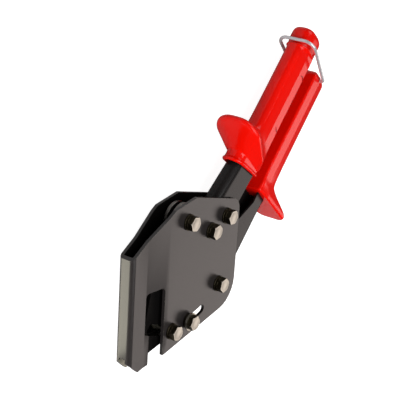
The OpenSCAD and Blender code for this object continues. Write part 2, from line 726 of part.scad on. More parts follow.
body_shell();
frame_bolts();
frame_washers();
lock_washers();
frame_nuts();
blade_bush();
blade_rings();
lever_bush();
tie_spacer();
clamp_spacers();
upper_shank();
upper_grip();
return_spring();
lower_shank();
lower_grip();
drive_pin();
near_blade();
far_blade();
pivot_spacer();
guide_spacer();
guide_rings();
guide_bolt();
guide_collar();
guide_washers();
guide_nut();
latch_bail();
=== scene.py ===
import json
import math
import bpy
import bmesh
from mathutils import Matrix, Vector


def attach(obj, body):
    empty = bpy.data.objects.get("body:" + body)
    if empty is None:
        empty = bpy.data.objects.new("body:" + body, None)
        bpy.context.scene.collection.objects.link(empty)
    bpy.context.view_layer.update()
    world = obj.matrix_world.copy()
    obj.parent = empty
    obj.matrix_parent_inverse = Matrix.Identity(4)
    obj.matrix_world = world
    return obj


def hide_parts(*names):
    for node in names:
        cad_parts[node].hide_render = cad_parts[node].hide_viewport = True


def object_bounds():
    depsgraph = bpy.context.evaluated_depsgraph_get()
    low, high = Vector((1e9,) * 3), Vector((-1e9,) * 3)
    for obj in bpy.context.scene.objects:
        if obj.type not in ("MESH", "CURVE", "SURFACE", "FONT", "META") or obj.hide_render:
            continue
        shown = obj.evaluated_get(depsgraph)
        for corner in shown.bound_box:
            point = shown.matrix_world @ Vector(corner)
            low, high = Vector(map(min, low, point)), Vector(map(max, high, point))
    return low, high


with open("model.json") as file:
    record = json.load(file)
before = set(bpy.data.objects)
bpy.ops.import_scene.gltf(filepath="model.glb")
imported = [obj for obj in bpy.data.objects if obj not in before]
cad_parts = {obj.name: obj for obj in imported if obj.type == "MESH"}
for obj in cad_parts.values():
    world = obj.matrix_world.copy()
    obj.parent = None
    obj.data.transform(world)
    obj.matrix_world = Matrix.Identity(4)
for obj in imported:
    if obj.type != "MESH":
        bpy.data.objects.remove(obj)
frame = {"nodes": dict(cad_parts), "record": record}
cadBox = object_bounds()
record = frame["record"]
mm = 0.001
hair = 1e-6  # metres, below which two levels are one
midZ = record["behaviour"]["joints"][0]["pos_m"][2]  # middle plane of the head
bodyOfNode = {n: b for b, names in record["behaviour"]["bodies"].items() for n in names}
print("frame loaded:", len(frame["nodes"]), "nodes")


# small helpers

def hexColour(code):
    parts = [int(code[i:i + 2], 16) / 255 for i in (1, 3, 5)]
    linear = [c / 12.92 if c <= 0.04045 else ((c + 0.055) / 1.055) ** 2.4 for c in parts]
    return (*linear, 1.0)


def addNode(tree, kind, place, inputs=None, **settings):
    node = tree.nodes.new(kind)
    node.location = place
    for name, value in settings.items():
        setattr(node, name, value)
    for name, value in (inputs or {}).items():
        node.inputs[name].default_value = value
    return node


def newPiece(name, mesh, material):
    piece = bpy.data.objects.new(name, mesh)
    bpy.context.scene.collection.objects.link(piece)
    if material is not None:
        mesh.materials.clear()
        mesh.materials.append(material)
    return piece


def settle(piece):  # modifiers become plain mesh
    bpy.context.view_layer.update()
    graph = bpy.context.evaluated_depsgraph_get()
    mesh = bpy.data.meshes.new_from_object(piece.evaluated_get(graph))
    piece.modifiers.clear()
    piece.data = mesh
    return piece


# plan of the head in mm, in plate axes with the nose upright

headPlan = {"pivot": (100.2, -54.0), "turn": 45.0, "bladePivot": (61.3, 8.7), "frontClamp": (88.7, -7.0),
            "rearClamp": (108.0, -1.9), "tieRadius": 80.6, "tieAngle": 12.5}


def onTool(p, q):  # plate axes to the shared frame
    angle = math.radians(-headPlan["turn"])
    dp, dq = p - headPlan["pivot"][0], q - headPlan["pivot"][1]
    return Vector(((dp * math.cos(angle) - dq * math.sin(angle)) * mm,
                   (dp * math.sin(angle) + dq * math.cos(angle)) * mm, 0.0))


def toolPoint(x, y, z):  # mm from the lever pivot and the middle plane
    return Vector((x * mm, y * mm, z * mm + midZ))


upNose = Vector((1.0, 1.0, 0.0)).normalized()
toNose = Vector((-1.0, 1.0, 0.0)).normalized()


# finishes

def newFinish(name):
    material = bpy.data.materials.new(name)
    material.use_nodes = True
    tree = material.node_tree
    tree.nodes.clear()
    output = addNode(tree, "ShaderNodeOutputMaterial", (600, 0))
    shader = addNode(tree, "ShaderNodeBsdfPrincipled", (300, 0))
    tree.links.new(shader.outputs["BSDF"], output.inputs["Surface"])
    return material, tree, shader


def grainedFinish(name, settings):
    material, tree, shader = newFinish(name)
    shader.inputs["Base Color"].default_value = hexColour(settings["colour"])
    shader.inputs["Metallic"].default_value = settings["metallic"]
    shader.inputs["Specular IOR Level"].default_value = settings["specular"]
    coords = addNode(tree, "ShaderNodeTexCoord", (-900, 0))
    grain = addNode(tree, "ShaderNodeTexNoise", (-650, 0),
                    {"Scale": 1 / (settings["grain"] * mm), "Detail": 3.0, "Roughness": 0.55})
    spread = addNode(tree, "ShaderNodeMapRange", (-350, 100),
                     {"To Min": settings["roughness"] - settings["roughnessSpread"],
                      "To Max": settings["roughness"] + settings["roughnessSpread"]})
    bump = addNode(tree, "ShaderNodeBump", (-50, -250),
                   {"Strength": settings["bump"], "Distance": settings["bumpDepth"] * mm})
    tree.links.new(coords.outputs["Object"], grain.inputs["Vector"])
    tree.links.new(grain.outputs["Fac"], spread.inputs["Value"])
    tree.links.new(spread.outputs["Result"], shader.inputs["Roughness"])
    tree.links.new(grain.outputs["Fac"], bump.inputs["Height"])
    tree.links.new(bump.outputs["Normal"], shader.inputs["Normal"])
    return material


finishLook = {  # grain and bump depth in mm
    # satin black coat on pressed steel
    "blackCoat": {
        "colour": "#221f1f", "metallic": 0.0, "specular": 0.5,
        "roughness": 0.3, "roughnessSpread": 0.05, "grain": 0.9, "bump": 0.1, "bumpDepth": 0.04},
    # deeper gloss black on the shanks
    "shankCoat": {
        "colour": "#191717", "metallic": 0.0, "specular": 0.2,
        "roughness": 0.26, "roughnessSpread": 0.04, "grain": 0.9, "bump": 0.1, "bumpDepth": 0.04},
    # bright nickel plate on bolts and nuts
    "platedSteel": {
        "colour": "#aeaaa0", "metallic": 1.0, "specular": 0.5,
        "roughness": 0.3, "roughnessSpread": 0.05, "grain": 0.5, "bump": 0.06, "bumpDepth": 0.02},
    # dark plate on washers and the collar; on the hex sides of the bolts it is painted shade, a darker copy of the
    # bright head plate
    "darkPlateAndShade": {
        "colour": "#4a4436", "metallic": 1.0, "specular": 0.5,
        "roughness": 0.38, "roughnessSpread": 0.06, "grain": 0.5, "bump": 0.06, "bumpDepth": 0.02},
    # paler coat: rubbed wear and a painted highlight along the broken edges behind the nose, and painted light on
    # the inner faces of the toes
    "wearAndPaintedLightCoat": {
        "colour": "#908d7f", "metallic": 0.35, "specular": 0.5,
        "roughness": 0.4, "roughnessSpread": 0.05, "grain": 0.9, "bump": 0.1, "bumpDepth": 0.04},
    # painted shade: near-black matt coat on the inner faces, standing in for the shade inside the folded head
    "insideShadeBlack": {
        "colour": "#060505", "metallic": 0.0, "specular": 0.04,
        "roughness": 0.7, "roughnessSpread": 0.05, "grain": 0.9, "bump": 0.1, "bumpDepth": 0.04},
    # worn bare metal along blade edges
    "bareEdge": {
        "colour": "#6f6c68", "metallic": 1.0, "specular": 0.5,
        "roughness": 0.35, "roughnessSpread": 0.05, "grain": 0.5, "bump": 0.05, "bumpDepth": 0.02},
    # turned steel of bushes and spacers, dark with oil
    "turnedSteel": {
        "colour": "#33322f", "metallic": 1.0, "specular": 0.5,
        "roughness": 0.35, "roughnessSpread": 0.06, "grain": 0.4, "bump": 0.06, "bumpDepth": 0.02},
    # painted shade: blade steel made near black and dull, standing in for the shade inside the slot
    "bladeShadeBlack": {
        "colour": "#080707", "metallic": 0.0, "specular": 0.05,
        "roughness": 0.6, "roughnessSpread": 0.08, "grain": 0.6, "bump": 0.08, "bumpDepth": 0.02},
    # oiled spring wire
    "springSteel": {
        "colour": "#4f4e4c", "metallic": 1.0, "specular": 0.5,
        "roughness": 0.35, "roughnessSpread": 0.05, "grain": 0.5, "bump": 0.05, "bumpDepth": 0.02},
    # glossy red moulded vinyl
    "redVinyl": {
        "colour": "#e00c02", "metallic": 0.0, "specular": 0.3,
        "roughness": 0.15, "roughnessSpread": 0.02, "grain": 1.6, "bump": 0.04, "bumpDepth": 0.04},
    # painted shade: darker red on the raised mould mark, so it reads as a shaded groove
    "grooveShadeRed": {
        "colour": "#8e0402", "metallic": 0.0, "specular": 0.2,
        "roughness": 0.4, "roughnessSpread": 0.03, "grain": 1.6, "bump": 0.04, "bumpDepth": 0.04},
    # bright plated wire of the latch
    "latchWire": {
        "colour": "#d4d4d8", "metallic": 0.6, "specular": 0.5,
        "roughness": 0.25, "roughnessSpread": 0.04, "grain": 0.6, "bump": 0.04, "bumpDepth": 0.02},
}
finishes = {name: grainedFinish(name, look) for name, look in finishLook.items()}
slotFinish = {
    "black_coat": "blackCoat", "plated_steel": "platedSteel", "turned_steel": "turnedSteel",
    "blade_steel": "bladeShadeBlack", "spring_steel": "springSteel", "red_vinyl": "redVinyl",
    "latch_wire": "latchWire"}
slotOfNode = {part["node"]: part["material_slot"] for part in record["subparts"]}
for name, node in frame["nodes"].items():
    node.data.materials.clear()
    node.data.materials.append(finishes[slotFinish[slotOfNode[name]]])
print("finishes set:", len(finishes))


# copies of CAD nodes with broken edges

copyLook = {"merge": 0.004, "flat": 0.6, "smoothest": 40}  # mm, then degrees


def cleanCopy(name, near=None, reach=0.0):  # merged copy, or one solid of it
    work = bmesh.new()
    work.from_mesh(frame["nodes"][name].data)
    bmesh.ops.remove_doubles(work, verts=work.verts, dist=copyLook["merge"] * mm)
    if near is not None:
        far = [v for v in work.verts if (v.co.xy - Vector(near[:2])).length > reach]
        bmesh.ops.delete(work, geom=far, context="VERTS")
    bmesh.ops.dissolve_limit(work, angle_limit=math.radians(copyLook["flat"]),
                             verts=work.verts, edges=work.edges)
    mesh = bpy.data.meshes.new(name + "Copy")
    work.to_mesh(mesh)
    work.free()
    return mesh


def shadeByAngle(mesh, degrees):
    work = bmesh.new()
    work.from_mesh(mesh)
    for face in work.faces:
        face.smooth = True
    for edge in work.edges:
        edge.smooth = len(edge.link_faces) == 2 and edge.calc_face_angle(0.0) < math.radians(degrees)
    work.to_mesh(mesh)
    work.free()


def breakEdges(piece, width, segments, degrees):
    bevel = piece.modifiers.new("brokenEdges", "BEVEL")
    bevel.width = width * mm
    bevel.segments = segments
    bevel.limit_method = "ANGLE"
    bevel.angle_limit = math.radians(degrees)
    settle(piece)
    shadeByAngle(piece.data, min(degrees, copyLook["smoothest"]))
    level = piece.modifiers.new("flatFaces", "WEIGHTED_NORMAL")  # big flats keep their own normal
    level.keep_sharp = True
    settle(piece)


# face thresholds for the finish masks: painted shade inside the head and on the bolt sides, painted light on the
# toes, wear and painted highlight on the outline
faceMaskLook = {
    "level": 0.99, "flat": 0.95, "steep": 0.5, "side": 0.3, "forward": 0.1,  # least or largest share of a normal
    "noseStart": 94.5, "toeStart": 75.0, "toeHeight": 11.0, "headReach": 16.0, "footLevel": -6.0}  # mm
domeLook = {"ring": 0.95, "rises": (0.14, 0.11, 0.08, 0.04)}  # mm, from the rim inwards


def domeHead(mesh):  # slight crown on a bolt head, no taller than the CAD head
    work = bmesh.new()
    work.from_mesh(mesh)
    level = [face for face in work.faces if face.normal.z > faceMaskLook["level"]]
    top = max(level, key=lambda face: face.calc_center_median().z)
    bmesh.ops.translate(work, verts=top.verts, vec=(0.0, 0.0, -sum(domeLook["rises"]) * mm))
    for rise in domeLook["rises"]:
        bmesh.ops.inset_region(work, faces=[top], thickness=domeLook["ring"] * mm, depth=rise * mm)
    work.to_mesh(mesh)
    work.free()


def markToes(mesh):  # an edge across each toe parts the end painted lighter from the rest
    work = bmesh.new()
    work.from_mesh(mesh)
    level = min(v.co.dot(upNose) for v in work.verts) + faceMaskLook["toeHeight"] * mm
    bmesh.ops.bisect_plane(work, geom=work.verts[:] + work.edges[:] + work.faces[:], dist=hair,
                           plane_co=upNose * level, plane_no=upNose)
    work.to_mesh(mesh)
    work.free()
    return level


def finishPiece(piece, node):  # the piece stands for a CAD node
    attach(piece, bodyOfNode[node])
    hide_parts(node)


edgeLook = {  # node: broken edge in mm, segments, least angle, finish
    "body_shell": (0.3, 2, 28, "blackCoat"), "upper_shank": (0.2, 2, 40, "shankCoat"),
    "lower_shank": (0.2, 2, 40, "shankCoat"), "near_blade": (0.2, 1, 40, "bladeShadeBlack"),
    "far_blade": (0.2, 1, 40, "bladeShadeBlack"), "guide_bolt": (0.8, 3, 70, "platedSteel"),
    "guide_collar": (0.2, 2, 40, "darkPlateAndShade"), "guide_washers": (0.2, 2, 40, "platedSteel"),
    "guide_nut": (0.25, 2, 25, "platedSteel")}
edged = {}
for name, (width, segments, degrees, finish) in edgeLook.items():
    edged[name] = piece = newPiece(name + "Edged", cleanCopy(name), finishes[finish])
    if name == "guide_bolt":
        domeHead(piece.data)
    if name == "body_shell":
        toeLevel = markToes(piece.data)
    breakEdges(piece, width, segments, degrees)
    finishPiece(piece, name)


def secondFinish(piece, finish, chosen):  # chosen says which faces take the second finish
    piece.data.materials.append(finishes[finish])
    for face in piece.data.polygons:
        if chosen(face.center, face.normal):
            face.material_index = len(piece.data.materials) - 1


def facesInward(centre, normal):
    return normal.z * (centre.z - midZ) < 0 and abs(normal.z) > faceMaskLook["steep"]


def onToe(centre, normal):  # every face of a toe but its outer ones, painted lighter as painted light
    outward = normal.z * (centre.z - midZ) > hair or normal.dot(toNose) > faceMaskLook["forward"]
    inToe = centre.dot(upNose) < toeLevel and centre.dot(toNose) > faceMaskLook["toeStart"] * mm
    return inToe and not outward


def onOutline(centre, normal):  # broken edges behind the nose, painted paler as wear and a painted highlight line
    behind = centre.dot(toNose) < faceMaskLook["noseStart"] * mm
    outward = normal.z * (centre.z - midZ) > 0
    return behind and outward and faceMaskLook["side"] < abs(normal.z) < faceMaskLook["flat"]


def onBareEdge(centre, normal):  # blade heads in the top gap, and the blades' lower ends
    head = (centre.xy - onTool(*headPlan["bladePivot"]).xy).length < faceMaskLook["headReach"] * mm
    foot = centre.dot(upNose) < faceMaskLook["footLevel"] * mm
    return abs(normal.z) < faceMaskLook["flat"] and (head or foot)


def onSides(centre, normal):  # flats round a bolt, not its ends, which take the darker plate as painted shade
    return abs(normal.z) < faceMaskLook["side"]


# painted shade: the inward faces of the head take the near-black coat that stands in for the shade between the
# cheeks
secondFinish(edged["body_shell"], "insideShadeBlack", facesInward)
# paler coat: wear and a painted highlight on the outline bevels, painted light on the toe insides
secondFinish(edged["body_shell"], "wearAndPaintedLightCoat", onOutline)
secondFinish(edged["body_shell"], "wearAndPaintedLightCoat", onToe)
for name in ("near_blade", "far_blade"):
    secondFinish(edged[name], "bareEdge", onBareEdge)
secondFinish(edged["guide_bolt"], "darkPlateAndShade", onSides)
print("edged copies:", len(edgeLook))


# rows of fasteners

def newTree(name, sockets):
    tree = bpy.data.node_groups.new(name, "GeometryNodeTree")
    ids = {}
    for label, kind in [("Geometry", "NodeSocketGeometry")] + sockets:
        ids[label] = tree.interface.new_socket(name=label, in_out="INPUT", socket_type=kind).identifier
    tree.interface.new_socket(name="Geometry", in_out="OUTPUT", socket_type="NodeSocketGeometry")
    source = addNode(tree, "NodeGroupInput", (-700, 0))
    sink = addNode(tree, "NodeGroupOutput", (900, 0))
    return tree, ids, source, sink


def buildRowTree():  # one solid set on each point, turned about its axis
    tree, ids, source, sink = newTree("fastenerRow", [
        ("Solid", "NodeSocketObject"), ("Largest Turn", "NodeSocketFloat"),
        ("Seed", "NodeSocketInt"), ("Finish", "NodeSocketMaterial")])
    solid = addNode(tree, "GeometryNodeObjectInfo", (-450, -150))
    turn = addNode(tree, "FunctionNodeRandomValue", (-450, -400))
    spin = addNode(tree, "ShaderNodeCombineXYZ", (-200, -400))
    setOn = addNode(tree, "GeometryNodeInstanceOnPoints", (50, 0))
    real = addNode(tree, "GeometryNodeRealizeInstances", (300, 0))
    coat = addNode(tree, "GeometryNodeSetMaterial", (550, 0))
    link = tree.links.new
    link(source.outputs["Solid"], solid.inputs["Object"])
    link(source.outputs["Largest Turn"], turn.inputs[3])
    link(source.outputs["Seed"], turn.inputs["Seed"])
    link(turn.outputs[1], spin.inputs["Z"])
    link(source.outputs["Geometry"], setOn.inputs["Points"])
    link(solid.outputs["Geometry"], setOn.inputs["Instance"])
    link(spin.outputs["Vector"], setOn.inputs["Rotation"])
    link(setOn.outputs["Instances"], real.inputs["Geometry"])
    link(real.outputs["Geometry"], coat.inputs["Geometry"])
    link(source.outputs["Finish"], coat.inputs["Material"])
    link(coat.outputs["Geometry"], sink.inputs["Geometry"])
    return tree, ids


def grow(piece, tree, ids, values):
    modifier = piece.modifiers.new(tree.name, "NODES")
    modifier.node_group = tree
    for label, value in values.items():
        modifier[ids[label]] = value
    return settle(piece)


tieTurn = math.radians(headPlan["tieAngle"])
boltAxes = [onTool(*place) for place in (
    headPlan["bladePivot"], headPlan["frontClamp"], headPlan["rearClamp"], headPlan["pivot"],
    (headPlan["bladePivot"][0] - headPlan["tieRadius"] * math.sin(tieTurn),
     headPlan["bladePivot"][1] - headPlan["tieRadius"] * math.cos(tieTurn)))]
rowTree, rowIds = buildRowTree()
rowSegments = 3
rowLook = {  # node: reach of one solid, edge, least angle, turn in degrees, seed, finish, far copy
    "frame_bolts": (7.0, 0.8, 70, 60.0, 4, "platedSteel", False),
    "frame_nuts": (7.0, 0.25, 25, 60.0, 7, "platedSteel", False),
    "frame_washers": (7.0, 0.2, 40, 0.0, 1, "darkPlateAndShade", True),
    "lock_washers": (7.0, 0.15, 40, 300.0, 3, "darkPlateAndShade", False)}
for name, (reach, width, degrees, most, seed, finish, farToo) in rowLook.items():
    mesh = cleanCopy(name, boltAxes[0], reach * mm)
    if farToo:  # keep the near washer only
        work = bmesh.new()
        work.from_mesh(mesh)
        bmesh.ops.delete(work, geom=[v for v in work.verts if v.co.z < midZ], context="VERTS")
        work.to_mesh(mesh)
        work.free()
    if name == "frame_bolts":
        domeHead(mesh)
    mesh.transform(Matrix.Translation(-boltAxes[0]))
    solid = newPiece(name + "Solid", mesh, finishes[finish])
    breakEdges(solid, width, rowSegments, degrees)
    points = [tuple(axis) for axis in boltAxes]
    if farToo:
        middle = sum((v.co.z for v in solid.data.vertices)) / len(solid.data.vertices)
        points += [(axis.x, axis.y, 2 * (midZ - middle)) for axis in boltAxes]
    spots = bpy.data.meshes.new(name + "Spots")
    spots.from_pydata(points, [], [])
    row = newPiece(name + "Row", spots, None)
    grow(row, rowTree, rowIds, {"Solid": solid, "Largest Turn": math.radians(most), "Seed": seed,
                                "Finish": finishes[finish]})
    bpy.data.objects.remove(solid)
    finishPiece(row, name)
    if name == "frame_bolts":
        # painted shade: the hex sides of the bolts take the darker plate
        secondFinish(row, "darkPlateAndShade", onSides)
print("fastener rows:", len(rowLook))


# wires swept along their paths

def buildWireTree():
    tree, ids, source, sink = newTree("wireSweep", [
        ("Wire Radius", "NodeSocketFloat"), ("Sides", "NodeSocketInt"), ("Finish", "NodeSocketMaterial")])
    path = addNode(tree, "GeometryNodeMeshToCurve", (-450, 100))
    section = addNode(tree, "GeometryNodeCurvePrimitiveCircle", (-450, -200))
    sweep = addNode(tree, "GeometryNodeCurveToMesh", (-150, 0), {"Fill Caps": True})
    smooth = addNode(tree, "GeometryNodeSetShadeSmooth", (100, 0))
    real = addNode(tree, "GeometryNodeRealizeInstances", (350, 0))
    coat = addNode(tree, "GeometryNodeSetMaterial", (600, 0))
    link = tree.links.new
    link(source.outputs["Geometry"], path.inputs["Mesh"])
    link(source.outputs["Sides"], section.inputs["Resolution"])
    link(source.outputs["Wire Radius"], section.inputs["Radius"])
    link(path.outputs["Curve"], sweep.inputs["Curve"])
    link(section.outputs["Curve"], sweep.inputs["Profile Curve"])
    link(sweep.outputs["Mesh"], smooth.inputs["Geometry"])
    link(smooth.outputs["Geometry"], real.inputs["Geometry"])
    link(real.outputs["Geometry"], coat.inputs["Geometry"])
    link(source.outputs["Finish"], coat.inputs["Material"])
    link(coat.outputs["Geometry"], sink.inputs["Geometry"])
    return tree, ids


def filletPath(corners, steps):  # corners are a point and a radius
    path = []
    for i, (point, radius) in enumerate(corners):
        if radius <= 0 or i in (0, len(corners) - 1):
            path.append(point)
            continue
        a = (corners[i - 1][0] - point).normalized()
        b = (corners[i + 1][0] - point).normalized()
        half = a.angle(b) / 2
        centre = point + (a + b).normalized() * radius / math.sin(half)
        first = point + a * radius / math.tan(half) - centre
        last = point + b * radius / math.tan(half) - centre
        swing = math.pi - 2 * half
        for k in range(steps + 1):
            t = k / steps
            arm = first * math.sin((1 - t) * swing) + last * math.sin(t * swing)
            path.append(centre + arm / math.sin(swing))
    return path


def sweepWire(name, node, path, wire, sides, finish):
    mesh = bpy.data.meshes.new(name)
    mesh.from_pydata([tuple(p) for p in path], [(i, i + 1) for i in range(len(path) - 1)], [])
    piece = newPiece(name, mesh, None)
    grow(piece, wireTree, wireIds,
         {"Wire Radius": wire / 2 * mm, "Sides": sides, "Finish": finishes[finish]})
    finishPiece(piece, node)


wireTree, wireIds = buildWireTree()
latchLook = {"crossbar": (188.9, 41.65), "tip": (180.9, -3.4), "halfWidth": 16.0, "tipHalf": 12.2,
             "tipGap": 9.0, "shoulder": 8.0, "elbow": 2.5, "bendSteps": 12, "wire": 2.5, "sides": 20}
barHalf, tipHalf, tipGap = latchLook["halfWidth"], latchLook["tipHalf"], latchLook["tipGap"]
shoulder, elbow = latchLook["shoulder"] * mm, latchLook["elbow"] * mm
latchCorners = [(toolPoint(*latchLook[place], side), bend) for place, side, bend in (
    ("tip", -tipGap, 0), ("tip", -tipHalf, elbow), ("crossbar", -barHalf, shoulder),
    ("crossbar", barHalf, shoulder), ("tip", tipHalf, elbow), ("tip", tipGap, 0))]
sweepWire("latchWireBail", "latch_bail", filletPath(latchCorners, latchLook["bendSteps"]),
          latchLook["wire"], latchLook["sides"], "latchWire")
springLook = {"coilRadius": 6.7, "pitch": 2.1, "turns": 2, "backLeg": (-6.0, 30.0),  # degrees, reach
              "clampPoint": (42.36, 31.33), "spacer": 4.0, "rest": 0.3, "wire": 1.6, "sides": 12, "steps": 24}
clamp = Vector(springLook["clampPoint"])
offset = springLook["coilRadius"] + springLook["spacer"] + springLook["wire"] / 2 + springLook["rest"]
clampTurn = math.degrees(math.atan2(clamp.y, clamp.x)) - math.degrees(math.asin(offset / clamp.length))
backTurn, backReach = springLook["backLeg"]
coilFrom = backTurn - 90
coilSwing = springLook["turns"] * 360 + coilFrom + 360 - (clampTurn + 90)
coilSteps = math.ceil(coilSwing / 360 * springLook["steps"])
coilRise = springLook["pitch"] * coilSwing / 360


def coilPoint(t):
    angle = math.radians(coilFrom - coilSwing * t)
    r = springLook["coilRadius"]
    return Vector((r * math.cos(angle), r * math.sin(angle), coilRise * (t - 0.5)))


def along(degrees, reach):
    return reach * Vector((math.cos(math.radians(degrees)), math.sin(math.radians(degrees)), 0))


coil = [coilPoint(i / coilSteps) for i in range(coilSteps + 1)]
springPath = [coil[0] + along(backTurn, backReach)] + coil + [coil[-1] + along(clampTurn, clamp.length)]
sweepWire("returnSpringWire", "return_spring", [toolPoint(*p) for p in springPath],
          springLook["wire"], springLook["sides"], "springSteel")
print("wires swept")


# moulded grips

def roundedRing(corners, steps):  # corners are level, side and radius
    points = []
    count = len(corners)
    for i in range(count):
        before, here, after = (Vector(corners[j % count][:2]) for j in (i - 1, i, i + 1))
        radius = corners[i][2]
        a, b = (before - here).normalized(), (after - here).normalized()
        half = a.angle(b) / 2
        centre = here + (a + b).normalized() * radius / math.sin(half)
        first = here + a * radius / math.tan(half) - centre
        last = here + b * radius / math.tan(half) - centre
        start = math.atan2(first.y, first.x)
        swing = (math.atan2(last.y, last.x) - start + 3 * math.pi) % (2 * math.pi) - math.pi
        for k in range(steps + 1):
            angle = start + swing * k / steps
            points.append(centre + radius * Vector((math.cos(angle), math.sin(angle))))
    return points


def gripRing(station, steps):  # ends along the grip, levels, half widths, radii, and the crease's share and radius
    xIn, xBack, inner, back, halves, rIn, rBack, mid, rMid = station
    level = inner + mid * (back - inner)
    slope = (xBack - xIn) / (back - inner)
    ring = roundedRing([(back, -halves[2], rBack), (back, halves[2], rBack), (level, halves[1], rMid),
                        (inner, halves[0], rIn), (inner, -halves[0], rIn), (level, -halves[1], rMid)], steps)
    return [Vector((xIn + slope * (p.x - inner), p.x, p.y)) for p in ring]


def loftGrip(name, stations, flip, node, look):
    rings = [gripRing(station, look["steps"]) for station in stations]
    for end, order in ((0, 1), (-1, -1)):  # close both ends with shrinking rings
        edge = rings[end]
        middle = sum(edge, Vector()) / len(edge)
        for share in look["capShares"]:
            cap = [middle + (p - middle) * share for p in edge]
            rings = [cap] + rings if order == 1 else rings + [cap]
    count = len(rings[0])
    points = [toolPoint(p.x, -p.y if flip else p.y, p.z) for ring in rings for p in ring]
    faces = [(r * count + i, r * count + j, (r + 1) * count + j, (r + 1) * count + i)
             for r in range(len(rings) - 1) for i, j in ((i, (i + 1) % count) for i in range(count))]
    faces += [tuple(range(count - 1, -1, -1)), tuple((len(rings) - 1) * count + i for i in range(count))]
    mesh = bpy.data.meshes.new(name)
    mesh.from_pydata([tuple(p) for p in points], [], faces)
    work = bmesh.new()
    work.from_mesh(mesh)
    bmesh.ops.recalc_face_normals(work, faces=work.faces)
    for face in work.faces:
        face.smooth = True
    work.to_mesh(mesh)
    work.free()
    piece = newPiece(name, mesh, finishes["redVinyl"])
    smooth = piece.modifiers.new("smoothSkin", "SUBSURF")
    smooth.levels = smooth.render_levels = look["levels"]
    settle(piece)
    for mark in look["marks"] if node == "upper_grip" else ():
        mouldMark(piece.data, [toolPoint(x, y, half) for x, y in mark], look)
    finishPiece(piece, node)


def mouldMark(mesh, path, look):  # thin raised line that fades at both ends
    # the mark's faces take the darker red of painted shade
    if len(mesh.materials) == 1:
        mesh.materials.append(finishes["grooveShadeRed"])
    work = bmesh.new()
    work.from_mesh(mesh)
    spine = smoothPath(path, look["markSteps"])
    sides = len(look["markProfile"])
    rows = []
    for i, point in enumerate(spine):
        ahead = (spine[min(i + 1, len(spine) - 1)] - spine[max(i - 1, 0)]).normalized()
        side = ahead.cross(Vector((0, 0, 1)))
        width = look["markWidth"] * mm * math.sin(math.pi * (i + 0.5) / len(spine))
        rows.append([work.verts.new(point + side * width * across + Vector((0, 0, width * rise)))
                     for across, rise in look["markProfile"]])
    for a, b in zip(rows, rows[1:]):
        for k in range(sides):
            face = work.faces.new((a[k], a[(k + 1) % sides], b[(k + 1) % sides], b[k]))
            face.smooth, face.material_index = True, 1
    work.faces.new(rows[0])
    work.faces.new(list(reversed(rows[-1])))
    bmesh.ops.recalc_face_normals(work, faces=work.faces)
    work.to_mesh(mesh)
    work.free()


def smoothPath(path, steps):  # curve through three points
    a, b, c = path
    return [a * (2 * t - 1) * (t - 1) + b * 4 * t * (1 - t) + c * t * (2 * t - 1)
            for t in (k / steps for k in range(steps + 1))]


gripLook = {
    "steps": 7, "capShares": (0.96, 0.8), "levels": 2, "half": 8.7, "depth": 22.7, "reach": 27.6, "endRadius": 4.5,
    "upperFront": 79.0, "upperInner": 18.2, "upperEnd": 202.4, "guardHalf": 19.0,
    "lowerFront": 76.0, "lowerInner": -5.0, "lowerEnd": 185.6, "lowerGuardHalf": 13.5,
    "markWidth": 0.55, "markSteps": 10, "markProfile": ((-1, -0.3), (-0.4, 0.35), (0.4, 0.35), (1, -0.3), (0, -0.9)),
    "marks": (((167.8, 25.4), (168.4, 21.6), (165.6, 18.8)), ((123.0, 23.8), (120.9, 21.8), (121.0, 19.4)))}
half = gripLook["half"]


def plain(grown):
    return (half - 0.3 + grown, half + grown, half + grown)


def flatStation(xIn, xBack, inner, rise=0.0, grown=0.0):  # near and far flats end in a crease
    return (xIn, xBack, inner - min(grown, 0.0), inner + gripLook["depth"] + rise + min(grown, 0.0),
            (half - 0.3 + grown, half + grown, half - 2.1 + grown), 1.6, 6.1 + grown, 0.43, 0.7)


def knobStation(x, inner, sink, wide, dip=0.0):  # the full section beyond the flats
    return (x, x, inner + sink, inner + gripLook["depth"] - sink - dip,
            (half - 0.3 - sink, half + wide - sink, half + 0.6 * wide - sink), 4.5, half - sink - 0.4, 0.35, 4.0)


def roundEnd(end, sinkStation):
    r = gripLook["endRadius"]
    turns = [math.radians(degrees) for degrees in (0.0, 25.0, 50.0, 72.0)]
    return [sinkStation(end - r + r * math.sin(turn), r - r * math.cos(turn)) for turn in turns]


def knobEnd(end, inner, wide):  # a groove across the back takes the latch wire
    stations = [flatStation(end - x, end - x, inner) for x in (19.0, 17.6)]
    for x, dip in ((-16.6, 0.0), (-16.1, 0.0), (-14.9, 1.1), (-12.1, 1.1), (-10.9, 0.0), (-6.0, 0.0)):
        stations.append(knobStation(end + x, inner, -0.2, wide, dip))
    return stations + roundEnd(end, lambda x, sink: knobStation(x, inner, sink - 0.2, wide))


def plainEnd(end, inner):
    return [flatStation(end - 8, end - 8, inner), flatStation(end - 5.4, end - 5.4, inner)] + roundEnd(
        end, lambda x, sink: flatStation(x, x, inner, 0.0, -sink))


